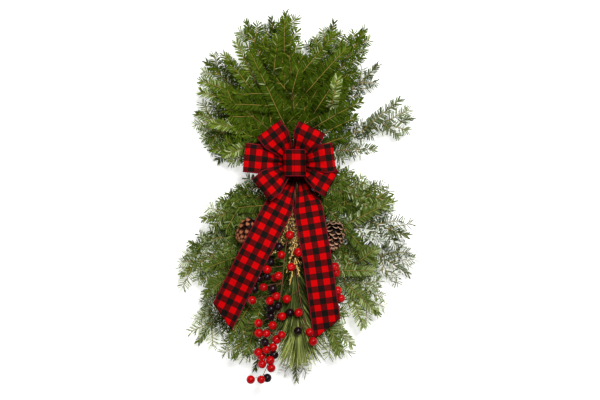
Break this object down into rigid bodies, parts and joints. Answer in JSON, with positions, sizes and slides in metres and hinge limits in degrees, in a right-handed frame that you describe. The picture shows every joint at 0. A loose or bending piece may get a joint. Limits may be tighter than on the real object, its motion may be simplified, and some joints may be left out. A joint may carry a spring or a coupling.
{
  "type": "winterberry swag",
  "caption": "Teardrop evergreen swag lying on its back: two fans of fir boughs wired at a narrow waist under a checked ribbon bow, with pine needles, cones, gilded sprigs and berries.",
  "frame": {"origin": "middle of the underside of the whole bounding box, on the surface that the swag lies on", "axes": "+Y from the lower fan to the upper fan, as it hangs; +Z out of its front, the side with the bow; +X to the viewer's right"},
  "size_m": [0.536, 0.8358, 0.108],
  "materials": {
    "upper_fir": "fresh fir, yellow-green needles with pale undersides on tan twigs",
    "lower_fir": "fresh fir, cooler green needles with silvery undersides on tan twigs",
    "pine": "long grey-green pine needles in bundles",
    "ribbon": "woven red and black buffalo check with a wired maroon edge",
    "berries": "lacquered red and near-black berries on reddish brown stems",
    "cone": "dry brown cone scales with pale tips",
    "gilt": "dried cypress sprigs sprayed with gold paint",
    "wire": "thin green-grey florist's wire"
  },
  "bodies": {
    "root": {"berry_spray_1": "berries", "berry_spray_2": "berries", "berry_spray_3": "berries", "binding_wire": "wire", "bow_loops": "ribbon", "bow_tails": "ribbon", "gilt_sprig_1": "gilt", "gilt_sprig_2": "gilt", "gilt_sprig_3": "gilt", "lower_bough_01": "lower_fir", "lower_bough_02": "lower_fir", "lower_bough_03": "lower_fir", "lower_bough_04": "lower_fir", "lower_bough_05": "lower_fir", "lower_bough_06": "lower_fir", "lower_bough_07": "lower_fir", "lower_bough_08": "lower_fir", "lower_bough_09": "lower_fir", "lower_bough_10": "lower_fir", "lower_bough_11": "lower_fir", "lower_bough_12": "lower_fir", "pine_cone_left": "cone", "pine_cone_right": "cone", "pine_tuft": "pine", "upper_bough_01": "upper_fir", "upper_bough_02": "upper_fir", "upper_bough_03": "upper_fir", "upper_bough_04": "upper_fir", "upper_bough_05": "upper_fir", "upper_bough_06": "upper_fir", "upper_bough_07": "upper_fir", "upper_bough_08": "upper_fir", "upper_bough_09": "upper_fir", "upper_bough_10": "upper_fir", "upper_bough_11": "upper_fir", "upper_bough_12": "upper_fir"}
  },
  "joints": []
}
